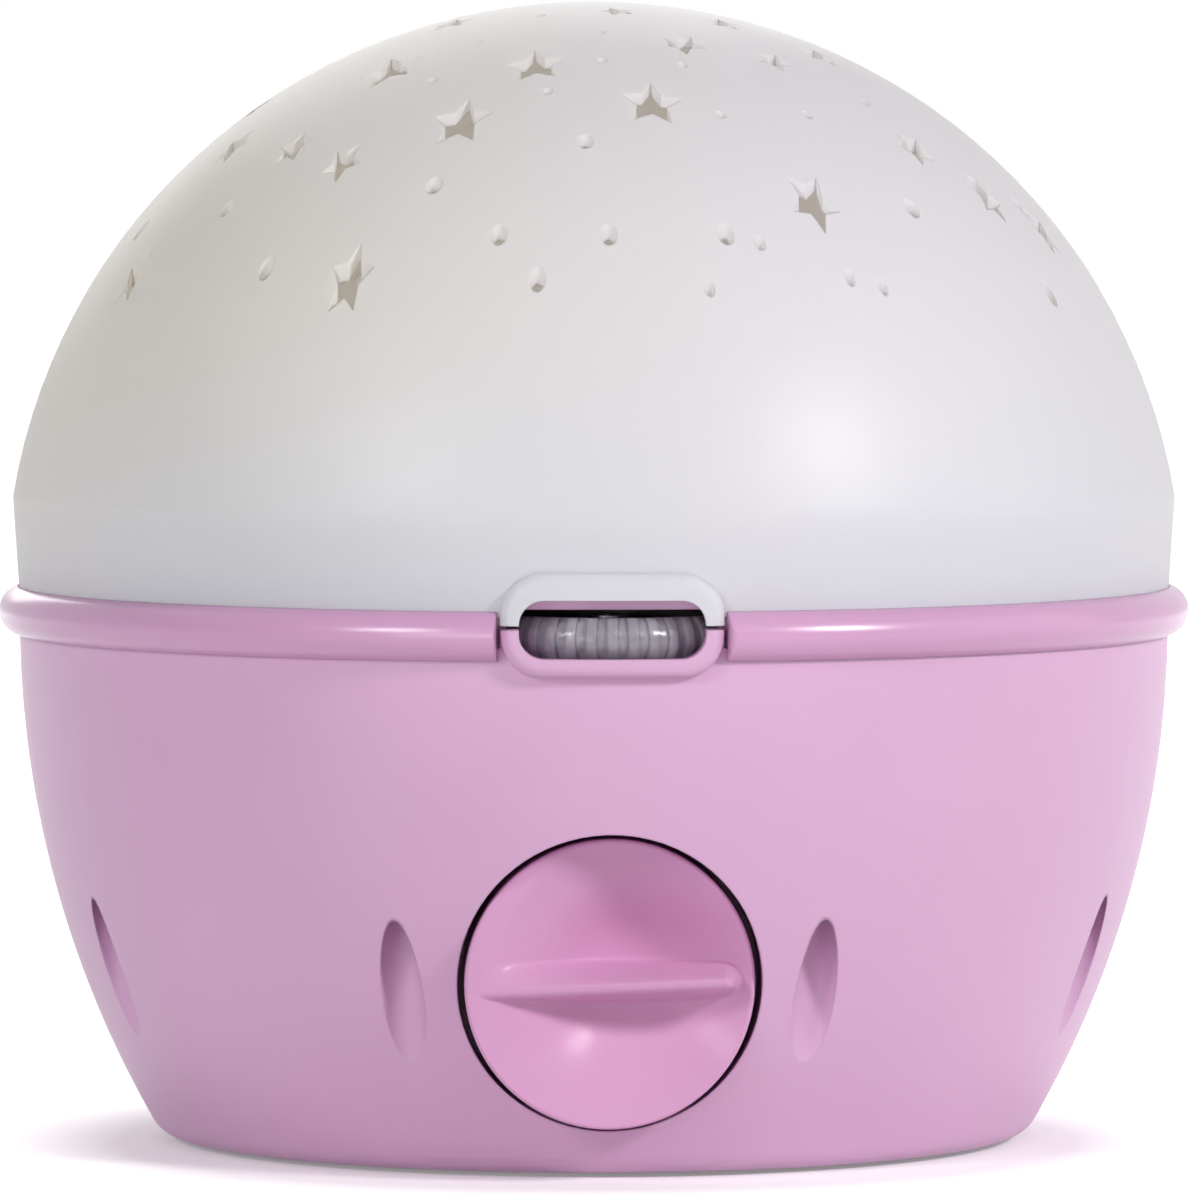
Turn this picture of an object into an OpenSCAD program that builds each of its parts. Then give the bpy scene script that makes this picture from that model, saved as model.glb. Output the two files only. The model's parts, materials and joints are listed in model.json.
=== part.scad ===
// Star night light projector: a domed baby night light on a round pink base.
// Front is -Y, up is +Z, and the origin is the centre of the footprint on the table.

/* [Body] */
// Outer radius of both shells at the seam between them
body_r = 72.4; // [72.3:0.1:75]
// Height of the seam above the table
seam_z = 67.8; // [66.5:0.1:67.9]
// Dark line left open between the two shells
seam_gap = 0.5; // [0.3:0.1:0.8]
// Wall thickness of both shells
wall = 2.2; // [1.8:0.1:2.6]
// Section radius of the long curve of the base wall
flank_r = 127; // [127:1:140]
// Rounding between the base wall and its underside
heel_r = 4; // [3:0.5:4]
// Height of the underside above the table, which is how far the feet stand proud
underside_z = 0.5; // [0.3:0.1:1]

/* [Dome] */
// How far the dome swells past the seam
dome_bulge = 1.8; // [1:0.1:3]
// Height of the dome's centre above the seam
dome_rise = 1.1; // [0.5:0.1:3]
// Height of the crease between the dome and its skirt, above the seam
skirt_h = 13.2; // [11:0.1:16]
// Wall thickness of the dome above its rim
dome_wall = 1.3; // [1.1:0.1:1.6]
// Notch radius of a star as a share of its tip radius
star_notch = 0.5; // [0.4:0.01:0.55]
// Radius of a dot
dot_r = 1; // [0.8:0.05:1.2]
// Radius of a small dot
small_dot_r = 0.65; // [0.5:0.05:0.75]

/* [Rim ring] */
// Height of the ring
ring_h = 6; // [5:0.1:7]
// How far the ring stands proud of the shells
ring_proud = 2.6; // [2:0.1:3]
// Half of the angle left open at the front
ring_gap_angle = 10.9; // [10.8:0.1:14]
// Height of the tongue that locks the ring between the shells
tongue_h = 3.6; // [3:0.1:4]
// Depth of that tongue
tongue_d = 0.9; // [0.6:0.1:1]

/* [Wheel window] */
// Width of the window
window_w = 22.4; // [21:0.1:23]
// Height of the window
window_h = 7; // [6:0.1:7.2]
// Corner radius of the window
window_corner = 3; // [2:0.1:3]
// Width of the raised frame round the window
bezel_w = 26.8; // [26:0.1:27]
// Height of the raised frame
bezel_h = 12.4; // [12:0.1:13.4]
// How far the frame stands proud of the shells
bezel_proud = 2; // [1.5:0.1:2.5]
// Corner radius of the raised frame
bezel_corner = 5; // [4:0.1:5.5]
// Rounding of its outer edge
bezel_round = 1.3; // [0.8:0.1:1.4]

/* [Thumb wheel] */
// Radius of the wheel
wheel_r = 15; // [14:0.1:15.6]
// Thickness of the wheel
wheel_t = 5.4; // [4.5:0.1:5.8]
// Distance of the wheel's axis inside the rim of the shells
wheel_inset = 14.4; // [14:0.1:15.4]
// Height of the top of the wheel above the seam
wheel_rise = 1.1; // [0.6:0.1:1.4]
// Radius of the wheel's crown in section
crown_r = 3.3; // [3:0.1:4.2]
// Number of ribs round the wheel
wheel_ribs = 36; // [24:2:44]
// Width of a rib
rib_w = 1.3; // [1:0.1:1.5]
// How far a rib stands up
rib_h = 0.35; // [0.2:0.05:0.45]
// Radius of the spindle
spindle_r = 3; // [2.5:0.1:3.5]

/* [Selector knob] */
// Radius of the knob
knob_r = 17.3; // [16:0.1:17.6]
// Height of the knob's axis above the table
knob_z = 24.5; // [24:0.1:26]
// Distance of the knob's rim behind the rim of the shells
knob_inset = 5.9; // [4.9:0.1:6.9]
// Gap between the knob and the wall of its well
knob_gap = 1.1; // [0.5:0.1:1.2]
// Greatest depth of the hollow in the face of the knob
dish_d = 7.6; // [6:0.1:8]
// How far the deepest place lies to the right of the knob's axis
dish_shift = 4.5; // [3:0.1:5]
// Width of the rim round the hollow
dish_rim = 1; // [0.8:0.1:1.2]
// Thickness of the skin behind the hollow
knob_skin = 1.8; // [1.4:0.1:2.2]
// Turn of the grip bar when the knob is at rest
bar_turn = 2.5; // [0:0.5:5]
// Width of the bar's crest
bar_crest = 2.1; // [1.6:0.1:2.4]
// Reach of the bar's foot on either side, at the bottom of the hollow
bar_foot = 3.6; // [3.2:0.1:4]
// Radius of the switch shaft
shaft_r = 3; // [2.5:0.1:3.5]

/* [Scoops] */
// Number of scoops round the base
scoop_count = 8; // [4:4:8]
// Radius of a scoop
scoop_r = 2.7; // [2.2:0.1:3]
// Distance of a scoop's axis inside the rim of the shells, at mid height
scoop_inset = 7.55; // [7.4:0.05:7.8]
// Height of the middle of a scoop
scoop_z = 23.2; // [22.8:0.1:23.6]
// Lean of a scoop from upright
scoop_lean = 2.5; // [2:0.5:3]
// Height of a scoop
scoop_h = 17.5; // [17:0.5:19]

/* [Batteries] */
// Radius of an AA cell
cell_r = 7.25; // [7.1:0.05:7.25]
// Length of an AA cell with its nub
cell_l = 50.5; // [49.2:0.1:50.5]
// Room left between neighbouring cells
cell_gap = 0.5; // [0.3:0.1:0.8]
// Wall thickness of the battery box
box_wall = 1.6; // [1.2:0.1:2]

/* [Speaker] */
// Outer radius of the speaker
speaker_r = 17; // [16:0.1:17.4]
// Radius of a hole in the speaker grille
grille_r = 1.1; // [0.8:0.1:1.3]

/* [Fits] */
// Radial clearance of a turning fit
run_gap = 0.05; // [0.03:0.01:0.08]
// Clearance between fixed pieces
fit_gap = 0.2; // [0.1:0.05:0.3]
// Screw radius
screw_r = 1.2; // [1:0.1:1.4]
// Screw head radius
head_r = 2.4; // [2.2:0.1:2.6]

/* [Hidden] */
$fn = 96;
eps = 0.01;

// Shells
brim_z = seam_z - 2.5;
flank_x = body_r - flank_r;
heel_z = underside_z + heel_r;
heel_x = flank_x + sqrt(pow(flank_r - heel_r, 2) - pow(brim_z - heel_z, 2));
dome_r = body_r + dome_bulge;
dome_z = seam_z + dome_rise;
crease_z = seam_z + skirt_h;
collar_out = body_r - wall - fit_gap;
collar_t = 1.8;
collar_top = seam_z + 5;
ring_z = seam_z - 1.1;
tongue_z = seam_z - 2.4;

// Stars: bearing from the front, tilt from the top, tip radius, turn from pointing back
STARS = [
    [10, 11, 2.4, 20], [-62, 16, 3.0, -15], [50, 16, 2.6, 10], [21, 22, 3.3, -25],
    [62, 25, 2.7, 15], [41, 26, 2.6, -10], [-14, 27, 3.9, 0], [-48, 28, 4.1, -3],
    [8, 34, 3.9, 0], [-85, 35, 2.6, 10], [-23, 37, 3.9, -16], [-68, 41, 2.6, 5],
    [-51, 41, 2.6, -37], [52, 41, 2.7, -12], [-39, 43, 2.7, 14], [27, 48, 3.4, -10],
    [60, 48, 2.6, 30], [70, 52, 2.6, 0], [-30, 57, 3.0, -29], [-67, 57, 2.7, 12],
];
// Dots: bearing from the front, tilt from the top
DOTS = [
    [-3, 40], [60, 46], [-23, 46], [-55, 49], [42, 49], [69, 49], [-76, 52], [-13, 52], [0, 52],
    [14, 52], [-42, 56], [-8, 57], [60, 59],
];
SMALL_DOTS = [
    [-25, 13], [0, 19], [-33, 22], [0, 26], [17, 27], [-34, 30], [-10, 32], [52, 34], [19, 36],
    [35, 36], [18, 53], [11, 58], [28, 57], [32, 58],
];

// Window and wheel
wheel_y = body_r - wheel_inset;
window_z = seam_z - 0.2;
bezel_z = seam_z + 0.25;
bezel_y = body_r + bezel_proud;
wheel_top = seam_z + wheel_rise;
wheel_z = wheel_top - wheel_t;
wheel_room = 0.6;
rim_in = wheel_r - 3;
web_z = 1.6;
web_t = 1.8;
slot_top = wheel_top + 0.95;
slot_angle = asin((window_w / 2 + 1.7) / collar_out);
pot_z = wheel_z - 0.5;
pot_h = 5;
pot_r = 8;
wheel_board_t = 1.6;
wheel_board_z = pot_z - pot_h - wheel_board_t;
wheel_board_size = [24, 20];
wheel_board_hole = [9, 7];
shelf_front = 14;
shelf_back = 10;

// Scoops
scoop_ring = body_r - scoop_inset;
scoop_block = 2 * scoop_r + 2.8;

// Knob, well and switch
knob_y = body_r - knob_inset;
well_r = knob_r + knob_gap;
well_floor = knob_y - 16;
knob_back = well_floor + 1.2;
dish_in = knob_r - dish_rim;
dish_r = (pow(dish_in + dish_shift, 2) + dish_d * dish_d) / (2 * dish_d);
nut_t = 2;
hub_back = well_floor + nut_t + 1.4;
bushing_r = shaft_r + 1.6;
switch_r = 8.4;
switch_l = 8;
hub_r = shaft_r + 1.9;
shaft_tip = knob_y - dish_d - 0.9;
flat_l = shaft_tip - hub_back + 0.2;
bar_low = 0.25;
bar_root = 1.3;
bar_end = knob_r - 2.4;

// Deck and lamps
deck_z = collar_top;
deck_t = 1.8;
deck_r = body_r - wall - 0.9;
bowl_top = deck_r - 32.3;
bowl_low = 15;
bowl_z = deck_z - 12;
cable_y = 8;
cable_r = 2;
post_ring = body_r - 10.9;
post_r = 3.6;
post_low = deck_z - 36.8;
post_angles = [90, 210, 330];
lamp_board_t = 1.6;
lamp_board_z = bowl_z + deck_t;

// Bottom plate, batteries and speaker
floor_top = underside_z + wall;
plate_r = heel_x - 3;
cell_pitch = 2 * cell_r + cell_gap;
cell_z = floor_top + cell_r + 0.1;
box_in = [58, 3 * cell_pitch + fit_gap];
box_y = 14;
box_top = cell_z + cell_r + 0.3;
contact_t = 0.5;
door_t = 1.8;
door_gap = 0.3;
hinge_y = box_y - box_in[1] / 2 + 0.6;
hook_x = 18;
hook_w = 8;
hook_r = 3.75;
screw_posts = [-30, 36, 144, 210];
plate_post_top = floor_top + 13.3;
screw_ring = plate_r - 5.9;
foot_r = 5;
foot_t = 1.4;
lock_y = box_y + box_in[1] / 2 + 4.6;
tongue_r = 6;
lock_pad_r = tongue_r + 1.8;
speaker_z = floor_top + 0.6;
clip_angles = [35, 145, 215, 325];
speaker_y = speaker_r + box_in[1] / 2 + box_wall + 0.8 - box_y;

// Boards and cells above the bottom plate
board_size = [56, 38];
board_t = 1.6;
board_z = box_top + box_wall + 4;
board_posts = [
    for (x = [-1, 1], y = [-1, 1]) [x * (board_size[0] / 2 - 3), box_y + y * (board_size[1] / 2 - 3)]
];
cell_start = box_in[0] / 2 - contact_t - 0.1;

// A slice of a round wall, centred on the front
module front_sector(inner, outer, low, high, half_angle) {
    rotate([0, 0, -90 - half_angle])
        rotate_extrude(angle = 2 * half_angle)
            translate([inner, low]) square([outer - inner, high - low]);
}

// A bar with round corners in X and Z, running back from y = -front
module front_bar(w, h, corner, front, depth) {
    translate([0, -front + depth, 0]) rotate([90, 0, 0]) linear_extrude(depth) {
        square([w - 2 * corner, h], center = true);
        square([w, h - 2 * corner], center = true);
        for (x = [-1, 1], y = [-1, 1])
            translate([x * (w / 2 - corner), y * (h / 2 - corner)]) circle(corner);
    }
}

// Half section of the dome, drawn in by a given amount
module dome_section(inset) {
    crease_r = sqrt(pow(dome_r - inset, 2) - pow(crease_z - dome_z, 2));
    intersection() {
        translate([0, dome_z]) circle(dome_r - inset);
        translate([0, crease_z - eps]) square(dome_r);
    }
    polygon([
        [0, seam_z + seam_gap / 2], [body_r - inset, seam_z + seam_gap / 2],
        [crease_r, crease_z], [0, crease_z],
    ]);
}

// Half section of the base, drawn in by a given amount
module base_section(inset, top) {
    low = underside_z + inset;
    aim = [heel_x - flank_x, heel_z - brim_z] / (flank_r - heel_r);
    difference() {
        intersection() {
            translate([flank_x, brim_z]) circle(flank_r - inset, $fn = 720);
            translate([0, low]) square([body_r + 1, top - low]);
        }
        difference() {
            polygon([
                [heel_x, heel_z], [heel_x, low - 1], [heel_x + 2 * heel_r, low - 1],
                [heel_x + 2 * heel_r * aim[0], heel_z + 2 * heel_r * aim[1]],
            ]);
            translate([heel_x, heel_z]) circle(heel_r - inset);
        }
    }
}

// Frame round the window: its front follows the shells, and its outer edge is well rounded
module bezel_block() {
    steps = 4;
    translate([0, 0, bezel_z]) hull() for (i = [0:steps]) {
        inset = bezel_round * (1 - sin(90 * i / steps));
        drop = bezel_round * (1 - cos(90 * i / steps));
        intersection() {
            front_bar(bezel_w - 2 * inset, bezel_h - 2 * inset, bezel_corner - inset, bezel_y,
                bezel_proud + wall, $fn = 32);
            translate([0, 0, -bezel_h]) cylinder(r = bezel_y - drop, h = 2 * bezel_h, $fn = 240);
        }
    }
}

module window_cut() {
    translate([0, 0, window_z]) front_bar(window_w, window_h, window_corner, bezel_y + 5, 12);
}

module ring_groove() {
    difference() {
        translate([0, 0, tongue_z - 0.1]) difference() {
            cylinder(r = body_r + fit_gap, h = tongue_h + fit_gap);
            translate([0, 0, -1]) cylinder(r = body_r - tongue_d - 0.1, h = tongue_h + 3);
        }
        front_sector(body_r - 5, body_r + 5, tongue_z - 5, tongue_z + 9, ring_gap_angle - 0.2);
    }
}

module star(tip) {
    polygon([
        for (i = [0:9])
            let (r = i % 2 == 0 ? tip : tip * star_notch, a = 90 + 36 * i)
            [r * cos(a), r * sin(a)]
    ]);
}

// Stars and dots, cut straight down through the dome as the mould draws
module star_cuts() {
    for (half = [0, 180]) rotate([0, 0, half]) {
        for (s = STARS)
            rotate([0, 0, s[0] - 90]) translate([dome_r * sin(s[1]), 0, dome_z + 2])
                rotate([0, 0, 90 - s[0] + s[3]]) linear_extrude(dome_r) star(s[2]);
        dot_cuts(DOTS, dot_r);
        dot_cuts(SMALL_DOTS, small_dot_r);
    }
}

module dot_cuts(dots, r) {
    for (d = dots)
        rotate([0, 0, d[0] - 90]) translate([dome_r * sin(d[1]), 0, dome_z + 2])
            cylinder(r = r, h = dome_r);
}

module dome_shell() {
    color("white") difference() {
        union() {
            difference() {
                rotate_extrude() dome_section(0);
                rotate_extrude() difference() {
                    dome_section(dome_wall);
                    square([dome_r, crease_z - 2]);
                }
                cylinder(r = body_r - wall, h = crease_z - 2 + eps);
            }
            difference() {
                bezel_block();
                translate([0, 0, seam_z - bezel_h]) cylinder(r = body_r - 1, h = 2 * bezel_h);
                translate([-bezel_w, -bezel_y - 1, seam_z - bezel_h])
                    cube([2 * bezel_w, 20, bezel_h + seam_gap / 2]);
            }
        }
        ring_groove();
        window_cut();
        star_cuts();
    }
}

// Collar inside the base that centres the dome, open at the front for the wheel
module collar() {
    difference() {
        rotate_extrude() polygon([
            [collar_out - collar_t, collar_top], [collar_out, collar_top],
            [collar_out, seam_z - 1], [collar_out + 0.9, seam_z - 1],
            [collar_out + 0.9, seam_z - 9], [collar_out - collar_t, seam_z - 6],
        ]);
        front_sector(collar_out - 5, collar_out + 2, wheel_z - wheel_room, slot_top, slot_angle);
    }
}

module well() {
    translate([0, -well_floor + wall, knob_z]) rotate([90, 0, 0])
        cylinder(r = well_r + wall, h = knob_y - well_floor + wall + 3);
}

module well_cut() {
    translate([0, -well_floor, knob_z]) rotate([90, 0, 0]) cylinder(r = well_r, h = 30);
    translate([0, -well_floor + wall + 1, knob_z]) rotate([90, 0, 0])
        cylinder(r = bushing_r + 0.1, h = wall + 2);
}

// Places its children on the leaning axis of every scoop
module at_scoops() {
    for (i = [0:scoop_count - 1]) rotate([0, 0, 360 / scoop_count * (i + 0.5)])
        translate([scoop_ring, 0, scoop_z]) rotate([0, scoop_lean, 0]) children();
}

module post(ring, r, low, high, angle) {
    rotate([0, 0, angle]) translate([ring, 0, low]) cylinder(r = r, h = high - low);
}

// Deck posts, plate posts and the shelf of the wheel's board, all inside the base wall
module inner_posts() {
    for (a = post_angles) {
        post(post_ring, post_r, post_low, deck_z, a);
        rotate([0, 0, a]) translate([post_ring, -1, post_low]) cube([12, 2, deck_z - post_low - 1]);
    }
    for (a = screw_posts) {
        post(screw_ring, 3.4, floor_top + 2.5, plate_post_top, a);
        rotate([0, 0, a]) translate([screw_ring + 2, -1, floor_top + 2.5]) cube([22, 2, 13]);
    }
    for (side = [-1, 1])
        translate([side * wheel_board_hole[0] - 1.2, 0, 0]) rotate([90, 0, 90]) linear_extrude(2.4)
            polygon([
                [-wheel_y - shelf_front, wheel_board_z], [-wheel_y + shelf_back, wheel_board_z],
                [-wheel_y + shelf_back, wheel_board_z - 2.5], [-wheel_y - shelf_front, wheel_board_z - 10],
            ]);
}

module base_shell() {
    color("orchid") difference() {
        union() {
            difference() {
                union() {
                    difference() {
                        rotate_extrude() base_section(0, seam_z - seam_gap / 2);
                        rotate_extrude() base_section(wall, seam_z + 1);
                    }
                    difference() {
                        bezel_block();
                        translate([0, 0, seam_z - bezel_h]) cylinder(r = body_r - 1, h = 2 * bezel_h);
                        translate([-bezel_w, -bezel_y - 1, seam_z - seam_gap / 2])
                            cube([2 * bezel_w, 20, bezel_h]);
                    }
                }
                ring_groove();
                window_cut();
            }
            collar();
            intersection() {
                union() {
                    well();
                    inner_posts();
                    at_scoops() cube([scoop_block, scoop_block, scoop_h + 6], center = true);
                }
                union() {
                    rotate_extrude() base_section(wall / 2, seam_z - 3);
                    translate([0, 0, seam_z - 4]) cylinder(r = collar_out - 0.2, h = deck_z - seam_z + 4);
                }
            }
        }
        well_cut();
        at_scoops() translate([0, 0, -scoop_h]) cylinder(r = scoop_r, h = 1.5 * scoop_h + 0.7);
        translate([0, -wheel_y, wheel_z - wheel_room])
            cylinder(r = wheel_r + wheel_room, h = slot_top - wheel_z + wheel_room);
        translate([0, 0, -1]) cylinder(r = plate_r + fit_gap, h = floor_top + 2);
        for (a = post_angles) post(post_ring, screw_r, deck_z - 9, deck_z + 1, a);
        for (a = screw_posts) post(screw_ring, screw_r, 0, plate_post_top - 3, a);
        wheel_board_holes(0.8, wheel_board_z - 2, 3);
    }
}

module wheel_board_holes(r, low, high) {
    for (side = [-1, 1])
        translate([side * wheel_board_hole[0], -wheel_y + wheel_board_hole[1], low])
            cylinder(r = r, h = high);
}

module rim_ring() {
    bead_r = (pow(ring_h / 2, 2) + pow(ring_proud - fit_gap, 2)) / (2 * (ring_proud - fit_gap));
    color("violet") rotate([0, 0, -90 + ring_gap_angle])
        difference() {
            rotate_extrude(angle = 360 - 2 * ring_gap_angle) {
                intersection() {
                    translate([body_r + ring_proud - bead_r, ring_z]) circle(bead_r);
                    translate([body_r + fit_gap, ring_z - ring_h]) square([ring_h, 2 * ring_h]);
                }
                translate([body_r - tongue_d, tongue_z])
                    square([tongue_d + 0.6, tongue_h]);
            }
            ring_end_round();
            rotate([0, 0, -2 * ring_gap_angle]) mirror([0, 1, 0]) ring_end_round();
        }
}

// Rounds the upright outer edge of one end of the ring
module ring_end_round() {
    round_r = 0.8;
    translate([body_r + ring_proud - round_r, round_r, ring_z - ring_h]) difference() {
        translate([0, -round_r - 1, 0]) cube([round_r + 1, round_r + 1, 2 * ring_h]);
        cylinder(r = round_r, h = 2 * ring_h);
    }
}

// Half section of the wheel's rim, crowned, drawn in by a given amount
module crown_section(inset) {
    intersection() {
        translate([rim_in, 0]) square([wheel_r, wheel_t]);
        translate([wheel_r - crown_r, wheel_t / 2]) circle(crown_r - inset);
    }
}

module thumb_wheel() {
    color("silver") translate([0, -wheel_y, wheel_z]) difference() {
        union() {
            rotate_extrude() {
                crown_section(rib_h);
                translate([0, web_z]) square([rim_in + 0.5, web_t]);
                square([spindle_r + 2, wheel_t - 1.2]);
            }
            intersection() {
                rotate_extrude() crown_section(0);
                for (i = [0:wheel_ribs / 2 - 1]) rotate([0, 0, 360 / wheel_ribs * i])
                    translate([-wheel_r - 1, -rib_w / 2, 0]) cube([2 * wheel_r + 2, rib_w, wheel_t]);
            }
        }
        difference() {
            translate([0, 0, -1]) cylinder(r = spindle_r, h = wheel_t + 2);
            translate([-spindle_r, spindle_r - 0.8, -2]) cube([2 * spindle_r, 2, wheel_t + 4]);
        }
    }
}

// Spindle with a flat, standing in the wheel's hub
module wheel_spindle() {
    color("dimgray") translate([0, -wheel_y, 0]) difference() {
        translate([0, 0, pot_z - pot_h + 1])
            cylinder(r = spindle_r - run_gap, h = wheel_z + wheel_t - 1.6 - pot_z + pot_h - 1);
        translate([-spindle_r, spindle_r - 0.8 - run_gap, wheel_z - 0.3]) cube([2 * spindle_r, 2, 9]);
        translate([0, 0, wheel_z - 0.4]) cylinder(r = 0.9, h = 9);
    }
}

module cap_screw(shank_r, shank_l, cap_r, cap_t) {
    difference() {
        union() {
            translate([0, 0, -shank_l]) cylinder(r = shank_r, h = shank_l + eps);
            cylinder(r = cap_r, h = cap_t);
        }
        for (a = [0, 90]) rotate([0, 0, a])
            translate([-cap_r * 0.6, -0.25, cap_t / 2]) cube([cap_r * 1.2, 0.5, cap_t]);
    }
}

module wheel_screw() {
    color("gainsboro") translate([0, -wheel_y, wheel_z + wheel_t - 1.2]) cap_screw(0.85, 4, 2.6, 1);
}

module wheel_pot() {
    color("darkslategray") translate([0, -wheel_y, pot_z - pot_h]) difference() {
        union() {
            cylinder(r = pot_r, h = pot_h - 1);
            cylinder(r = spindle_r + 1.5, h = pot_h);
            translate([-5, 0, 0]) cube([10, pot_r + 1, 1.6]);
        }
        translate([0, 0, 1 - eps]) cylinder(r = spindle_r, h = pot_h);
    }
}

module wheel_board() {
    color("darkgreen") difference() {
        translate([-wheel_board_size[0] / 2, -wheel_y - wheel_board_size[1] / 2 + 1, wheel_board_z])
            cube([wheel_board_size[0], wheel_board_size[1], wheel_board_t]);
        wheel_board_holes(0.95, wheel_board_z - 1, 4);
    }
}

module wheel_board_screws() {
    color("gainsboro") for (side = [-1, 1])
        translate([side * wheel_board_hole[0], -wheel_y + wheel_board_hole[1], wheel_board_z + wheel_board_t])
            cap_screw(0.75, 3.2, 1.7, 0.8);
}

// Half section of the grip bar, from the bottom of the hollow: a round crest on a hollow flank
module bar_section() {
    crest_r = bar_crest / 2;
    crest_y = dish_d - bar_low - crest_r;
    run = bar_foot - crest_r;
    sweep = (run * run + crest_y * crest_y) / (2 * run);
    intersection() {
        translate([0, crest_y]) circle(crest_r);
        square(dish_d);
    }
    difference() {
        translate([0, -bar_root]) square([bar_foot, crest_y + bar_root]);
        translate([crest_r + sweep, crest_y]) circle(sweep, $fn = 180);
    }
}

// Grip bar from the left edge of the rim to a round nose short of the right edge
module grip_bar() {
    nose_x = bar_end - bar_crest / 2;
    intersection() {
        union() {
            translate([-knob_r, 0, 0]) rotate([90, 0, 90]) linear_extrude(knob_r + nose_x) {
                bar_section();
                mirror([1, 0]) bar_section();
            }
            translate([nose_x, 0, 0]) rotate_extrude() bar_section();
        }
        translate([0, 0, -bar_root]) cylinder(r = dish_in + 0.1, h = 2 * dish_d);
    }
}

module selector_knob() {
    color("orchid") translate([0, -knob_y, knob_z]) rotate([0, -bar_turn, 0]) rotate([90, 0, 0])
        difference() {
            union() {
                difference() {
                    rotate_extrude() knob_outline();
                    intersection() {
                        dish_ball(0);
                        cylinder(r = dish_in, h = 2 * dish_d + 2, center = true);
                    }
                    difference() {
                        translate([0, 0, knob_back - knob_y - 1])
                            cylinder(r = dish_in - knob_skin / 2, h = knob_y - knob_back);
                        dish_ball(knob_skin);
                    }
                }
                translate([0, 0, -dish_d]) grip_bar();
                translate([0, 0, hub_back - knob_y])
                    cylinder(r = hub_r, h = knob_y - hub_back - dish_d - 0.5);
            }
            translate([0, 0, -(knob_y - well_floor) - 1]) shaft_bar(shaft_r, shaft_tip - well_floor + 1);
        }
}

// Ball that the hollow is part of, larger by a given skin
module dish_ball(skin) {
    translate([dish_shift, 0, dish_r - dish_d]) sphere(dish_r + skin, $fn = 180);
}

// Half section of the knob before it is hollowed
module knob_outline() {
    lip = 0.5;
    back = knob_y - knob_back;
    translate([0, -back]) square([knob_r, back - lip]);
    translate([0, -lip - eps]) square([knob_r - lip, lip + eps]);
    translate([knob_r - lip, -lip]) circle(lip);
}

// Shaft with a flat on its upper side
module shaft_bar(r, l) {
    difference() {
        cylinder(r = r, h = l);
        translate([-r, r - 0.8, l - flat_l]) cube([2 * r, r, flat_l + 1]);
    }
}

module switch_shaft() {
    color("silver") translate([0, -well_floor + wall + switch_l - 2, knob_z]) rotate([0, -bar_turn, 0])
        rotate([90, 0, 0]) shaft_bar(shaft_r - run_gap, shaft_tip - well_floor + wall + switch_l - 2.2);
}

module switch_body() {
    color("darkslategray") translate([0, -well_floor + wall + switch_l, knob_z]) rotate([90, 0, 0])
        difference() {
            union() {
                cylinder(r = switch_r, h = switch_l);
                cylinder(r = bushing_r, h = switch_l + wall + nut_t + 0.6);
                for (a = [30:30:150]) rotate([0, 0, a]) translate([switch_r - 1.5, 0, -1.5])
                    cylinder(r = 0.4, h = 2);
            }
            translate([0, 0, 1.9]) cylinder(r = shaft_r, h = 30);
        }
}

module switch_nut() {
    color("gainsboro") translate([0, -well_floor, knob_z]) rotate([90, 0, 0]) difference() {
        cylinder(r = bushing_r + 2, h = nut_t, $fn = 6);
        translate([0, 0, -1]) cylinder(r = bushing_r + run_gap, h = nut_t + 2);
    }
}

// Inner deck: a flat tray on the collar, sunk in the middle to a bowl that holds the lamps
module light_deck() {
    color("wheat") difference() {
        union() {
            rotate_extrude() polygon([
                [0, bowl_z], [bowl_low, bowl_z], [bowl_top, deck_z], [deck_r, deck_z],
                [deck_r, deck_z + deck_t], [bowl_top - 1, deck_z + deck_t],
                [bowl_low - 1, bowl_z + deck_t], [0, bowl_z + deck_t],
            ]);
            rotate_extrude() translate([deck_r - 1.4, deck_z]) square([1.4, deck_t + 1.2]);
        }
        for (a = post_angles) post(post_ring, screw_r + 0.2, deck_z - 1, deck_z + 4, a);
        translate([0, cable_y, bowl_z - 1]) cylinder(r = cable_r, h = 5);
    }
}

module deck_screws() {
    color("gainsboro") for (a = post_angles)
        rotate([0, 0, a]) translate([post_ring, 0, deck_z + deck_t])
            cap_screw(screw_r - 0.05, 8, head_r, 1.6);
}

module lamp_board() {
    color("darkgreen") translate([0, 0, lamp_board_z]) cylinder(r = bowl_low - 3, h = lamp_board_t);
}

module lamps() {
    lamp_r = 2.5;
    color("ivory") for (a = [90, 210, 330]) rotate([0, 0, a])
        translate([5, 0, lamp_board_z + lamp_board_t]) {
            cylinder(r = lamp_r + 0.4, h = 1);
            cylinder(r = lamp_r, h = 4.5);
            translate([0, 0, 4.5]) sphere(lamp_r);
        }
}

module main_board() {
    color("darkgreen") difference() {
        translate([-board_size[0] / 2, box_y - board_size[1] / 2, board_z])
            cube([board_size[0], board_size[1], board_t]);
        for (p = board_posts) translate([p[0], p[1], board_z - 1]) cylinder(r = 1.1, h = 4);
    }
}

module board_parts() {
    color("black") translate([0, box_y, board_z + board_t]) {
        translate([-8, -4, 0]) cube([10, 8, 1.6]);
        translate([8, 4, 0]) cube([6, 5, 1.4]);
        for (x = [-17, -11]) translate([x, 11, 0]) cylinder(r = 2.5, h = 8);
        for (x = [-16, -4, 8]) translate([x, -16, 0]) cube([7.5, 5, 6]);
    }
}

module board_screws() {
    color("gainsboro") for (p = board_posts)
        translate([p[0], p[1], board_z + board_t]) cap_screw(0.95, 4.5, 2, 1.3);
}

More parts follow.
